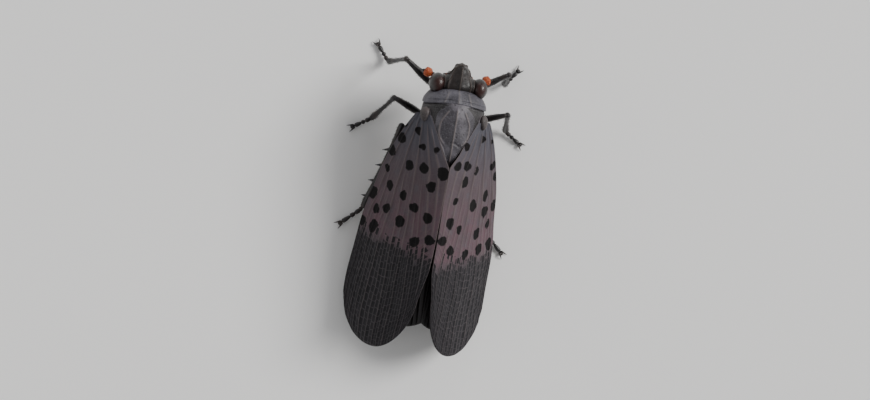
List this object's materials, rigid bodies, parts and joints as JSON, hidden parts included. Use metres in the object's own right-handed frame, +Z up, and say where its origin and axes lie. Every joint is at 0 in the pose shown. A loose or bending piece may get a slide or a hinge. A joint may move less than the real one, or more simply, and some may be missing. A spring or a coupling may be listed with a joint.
{
  "type": "spotted lanternfly",
  "caption": "Adult spotted lanternfly at rest, life size: spotted forewings folded like a roof over red hindwings, banded abdomen, eyes, feelers, beak and jointed legs.",
  "frame": {"origin": "middle of the bounding box's floor, on the plane that the feet stand on", "axes": "+Z up; -Y towards the head; +X towards the insect's left side; +Y along the folded wings to their tips"},
  "size_m": [0.0164, 0.0272, 0.0099],
  "materials": {
    "forewing": "mauve grey leathery membrane with black spots, slate grey and finely netted at the tip",
    "hindwing": "red membrane with black spots, white band and black tip",
    "thorax_shell": "blue grey to brown shell plates",
    "head_shell": "dark brown to black shell",
    "eye": "dark red brown, faceted and glossy",
    "antenna": "orange with fine pits",
    "leg_shell": "black, satin, with fine bristles",
    "abdomen_shell": "yellow with broad black bands"
  },
  "bodies": {
    "root": {"head": "head_shell", "rostrum": "head_shell", "eye_left": "eye", "eye_right": "eye", "antenna_left": "antenna", "antenna_right": "antenna", "pronotum": "thorax_shell", "thorax": "thorax_shell", "abdomen": "abdomen_shell", "forewing_left": "forewing", "forewing_right": "forewing", "hindwing_left": "hindwing", "hindwing_right": "hindwing", "leg_front_left": "leg_shell", "leg_front_right": "leg_shell", "leg_middle_left": "leg_shell", "leg_middle_right": "leg_shell", "leg_hind_left": "leg_shell", "leg_hind_right": "leg_shell"}
  },
  "joints": []
}
